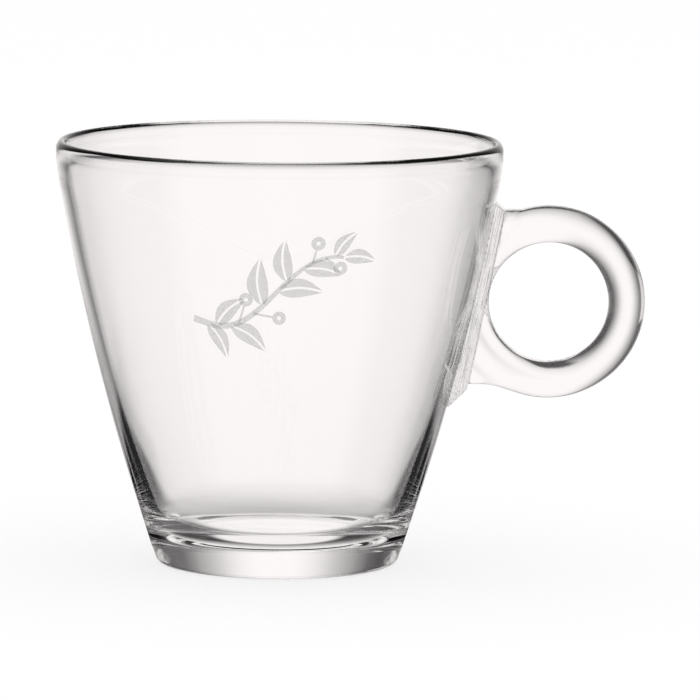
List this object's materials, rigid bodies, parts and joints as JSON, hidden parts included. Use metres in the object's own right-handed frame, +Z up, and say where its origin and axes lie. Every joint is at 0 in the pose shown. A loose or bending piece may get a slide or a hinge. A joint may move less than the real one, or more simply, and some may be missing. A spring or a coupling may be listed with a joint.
{
  "type": "espresso glass",
  "caption": "Clear glass espresso cup: a tapering, slightly bowed bowl on a heavy glass base, with a ring handle for a finger fused to its wall.",
  "frame": {"origin": "middle of the foot, on the table that the glass stands on", "axes": "+Z up along the axis of the bowl, +X towards the ring handle, whose ring lies in the XZ plane"},
  "size_m": [0.0869, 0.066, 0.0625],
  "materials": {
    "bowl_glass": "clear, fire polished",
    "handle_glass": "clear, fire polished, with fine drawn lines along the fused pad"
  },
  "bodies": {
    "root": {"bowl": "bowl_glass", "handle": "handle_glass"}
  },
  "joints": []
}
